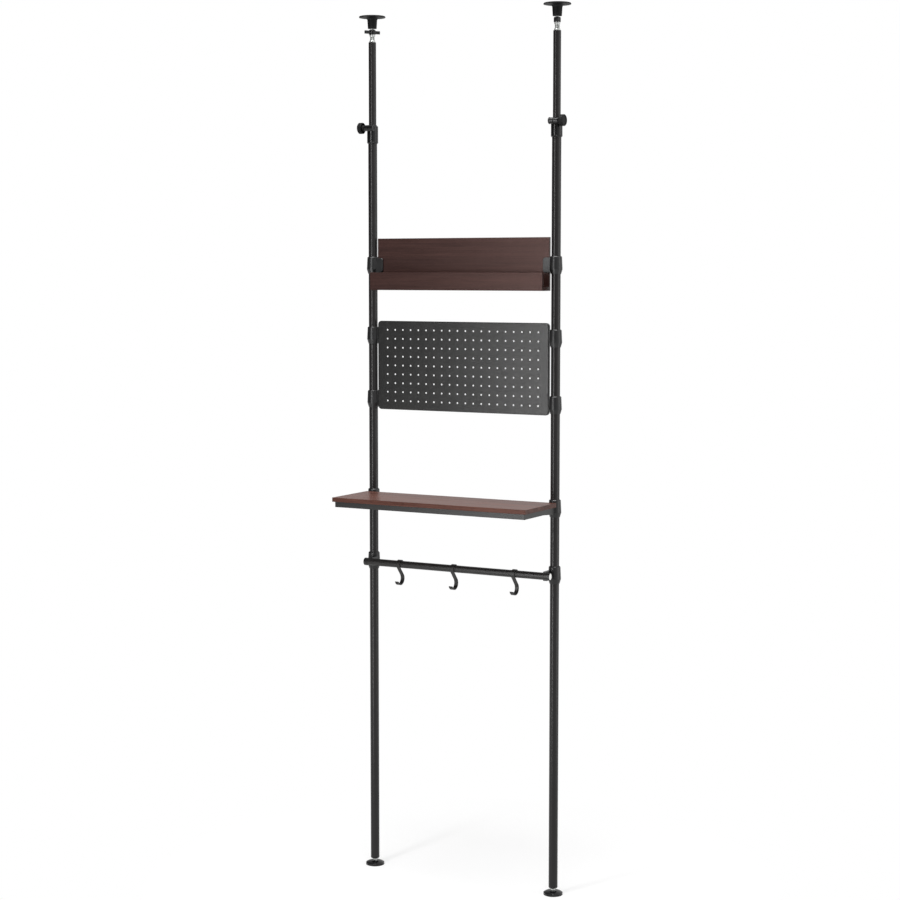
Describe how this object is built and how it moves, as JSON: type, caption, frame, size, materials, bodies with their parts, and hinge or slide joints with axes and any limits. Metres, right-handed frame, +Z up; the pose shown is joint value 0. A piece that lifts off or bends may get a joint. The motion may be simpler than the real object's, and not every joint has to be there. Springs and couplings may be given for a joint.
{
  "type": "tension pole shelf unit",
  "caption": "Floor-to-ceiling tension pole shelf unit: telescopic poles with jacks and height locks carrying a tray, a pegboard, a shelf and a hanging rail with hooks.",
  "frame": {"origin": "on the floor, midway between the axes of the two poles", "axes": "+X to the user's right along the boards, -Y towards the user, +Z up along the poles"},
  "size_m": [0.649, 0.239, 2.426],
  "materials": {
    "pole_paint": "semi-gloss black paint",
    "collar_plastic": "satin black moulded plastic",
    "foot_plastic": "glossy black moulded plastic",
    "foot_rubber": "matte black rubber",
    "bright_steel": "zinc-plated steel",
    "black_steel": "black-plated steel",
    "dark_wood": "dark reddish-brown wood grain",
    "shelf_wood": "dark reddish-brown wood grain",
    "frame_paint": "satin black paint",
    "pegboard_paint": "matt black powder coat"
  },
  "bodies": {
    "poles": {"left_lower_pole": "pole_paint", "left_pole_bottom_cap": "collar_plastic", "left_lock_collar": "collar_plastic", "left_lock_nut": "black_steel", "right_lower_pole": "pole_paint", "right_pole_bottom_cap": "collar_plastic", "right_lock_collar": "collar_plastic", "right_lock_nut": "black_steel"},
    "left_foot": {"left_foot_pad": "foot_plastic", "left_foot_rubber": "foot_rubber"},
    "left_levelling_stud": {"left_foot_stud": "bright_steel"},
    "left_pole_extension": {"left_upper_pole": "pole_paint", "left_guide_bush": "collar_plastic", "left_pole_top_insert": "bright_steel"},
    "left_lock_screw": {"left_lock_knob": "collar_plastic", "left_lock_bolt": "black_steel"},
    "left_pad": {"left_ceiling_pad": "foot_plastic", "left_ceiling_pad_sheet": "foot_rubber"},
    "left_jack": {"left_jack_screw": "bright_steel", "left_wing_handle": "foot_plastic"},
    "right_foot": {"right_foot_pad": "foot_plastic", "right_foot_rubber": "foot_rubber"},
    "right_levelling_stud": {"right_foot_stud": "bright_steel"},
    "right_pole_extension": {"right_upper_pole": "pole_paint", "right_guide_bush": "collar_plastic", "right_pole_top_insert": "bright_steel"},
    "right_lock_screw": {"right_lock_knob": "collar_plastic", "right_lock_bolt": "black_steel"},
    "right_pad": {"right_ceiling_pad": "foot_plastic", "right_ceiling_pad_sheet": "foot_rubber"},
    "right_jack": {"right_jack_screw": "bright_steel", "right_wing_handle": "foot_plastic"},
    "tray": {"tray_back_panel": "dark_wood", "tray_bottom_board": "dark_wood", "tray_front_lip": "dark_wood", "tray_left_collar": "collar_plastic", "tray_right_collar": "collar_plastic", "tray_screws": "bright_steel"},
    "pegboard": {"pegboard_panel": "pegboard_paint", "pegboard_upper_left_collar": "collar_plastic", "pegboard_upper_right_collar": "collar_plastic", "pegboard_lower_left_collar": "collar_plastic", "pegboard_lower_right_collar": "collar_plastic", "pegboard_screws": "bright_steel"},
    "shelf": {"shelf_board": "shelf_wood", "shelf_front_rail": "frame_paint", "shelf_rear_rail": "frame_paint", "shelf_left_arm": "frame_paint", "shelf_right_arm": "frame_paint", "shelf_left_collar": "collar_plastic", "shelf_right_collar": "collar_plastic", "shelf_screws": "bright_steel"},
    "rail": {"hanging_rail": "frame_paint", "rail_end_caps": "collar_plastic", "rail_end_discs": "bright_steel", "rail_left_collar": "collar_plastic", "rail_right_collar": "collar_plastic"},
    "left_rail_hook": {"left_hook": "frame_paint"},
    "middle_rail_hook": {"middle_hook": "frame_paint"},
    "right_rail_hook": {"right_hook": "frame_paint"}
  },
  "joints": [
    {"name": "left_foot_slide", "type": "slide", "parent": "poles", "child": "left_foot", "axis": [0, 0, 1], "range_m": [-0.005, 0.00125]},
    {"name": "left_stud_turn", "type": "hinge", "parent": "left_foot", "child": "left_levelling_stud", "pos_m": [-0.2875, 0, 0.0148], "axis": [0, 0, 1], "range_deg": [-1441, 361]},
    {"name": "left_pole_slide", "type": "slide", "parent": "poles", "child": "left_pole_extension", "axis": [0, 0, 1], "range_m": [-0.15, 0.15]},
    {"name": "left_lock_turn", "type": "hinge", "parent": "poles", "child": "left_lock_screw", "pos_m": [-0.2875, -0.018, 2.116], "axis": [-1, 0, 0], "range_deg": [0, 540]},
    {"name": "left_pad_slide", "type": "slide", "parent": "left_pole_extension", "child": "left_pad", "axis": [0, 0, 1], "range_m": [-0.006, 0.014]},
    {"name": "left_jack_turn", "type": "hinge", "parent": "left_pad", "child": "left_jack", "pos_m": [-0.2875, 0, 2.3825], "axis": [0, 0, 1], "range_deg": [-1081, 2521]},
    {"name": "right_foot_slide", "type": "slide", "parent": "poles", "child": "right_foot", "axis": [0, 0, 1], "range_m": [-0.005, 0.00125]},
    {"name": "right_stud_turn", "type": "hinge", "parent": "right_foot", "child": "right_levelling_stud", "pos_m": [0.2875, 0, 0.0148], "axis": [0, 0, 1], "range_deg": [-1441, 361]},
    {"name": "right_pole_slide", "type": "slide", "parent": "poles", "child": "right_pole_extension", "axis": [0, 0, 1], "range_m": [-0.15, 0.15]},
    {"name": "right_lock_turn", "type": "hinge", "parent": "poles", "child": "right_lock_screw", "pos_m": [0.2875, -0.018, 2.116], "axis": [1, 0, 0], "range_deg": [0, 540]},
    {"name": "right_pad_slide", "type": "slide", "parent": "right_pole_extension", "child": "right_pad", "axis": [0, 0, 1], "range_m": [-0.006, 0.014]},
    {"name": "right_jack_turn", "type": "hinge", "parent": "right_pad", "child": "right_jack", "pos_m": [0.2875, 0, 2.3825], "axis": [0, 0, 1], "range_deg": [-1081, 2521]},
    {"name": "tray_height", "type": "slide", "parent": "poles", "child": "tray", "axis": [0, 0, 1], "range_m": [-0.04, 0.3]},
    {"name": "pegboard_height", "type": "slide", "parent": "poles", "child": "pegboard", "axis": [0, 0, 1], "range_m": [-0.1, 0.04]},
    {"name": "shelf_height", "type": "slide", "parent": "poles", "child": "shelf", "axis": [0, 0, 1], "range_m": [-0.06, 0.1]},
    {"name": "rail_height", "type": "slide", "parent": "poles", "child": "rail", "axis": [0, 0, 1], "range_m": [-0.6, 0.06]},
    {"name": "left_hook_slide", "type": "slide", "parent": "rail", "child": "left_rail_hook", "axis": [1, 0, 0], "range_m": [-0.085, 0.075]},
    {"name": "middle_hook_slide", "type": "slide", "parent": "rail", "child": "middle_rail_hook", "axis": [1, 0, 0], "range_m": [-0.08, 0.08]},
    {"name": "right_hook_slide", "type": "slide", "parent": "rail", "child": "right_rail_hook", "axis": [1, 0, 0], "range_m": [-0.08, 0.075]}
  ],
  "couplings": [
    {"joint": "left_stud_turn", "follows": "left_foot_slide", "rad_per_m": 5026.5},
    {"joint": "left_jack_turn", "follows": "left_pad_slide", "rad_per_m": 3141.6},
    {"joint": "right_stud_turn", "follows": "right_foot_slide", "rad_per_m": 5026.5},
    {"joint": "right_jack_turn", "follows": "right_pad_slide", "rad_per_m": 3141.6}
  ]
}
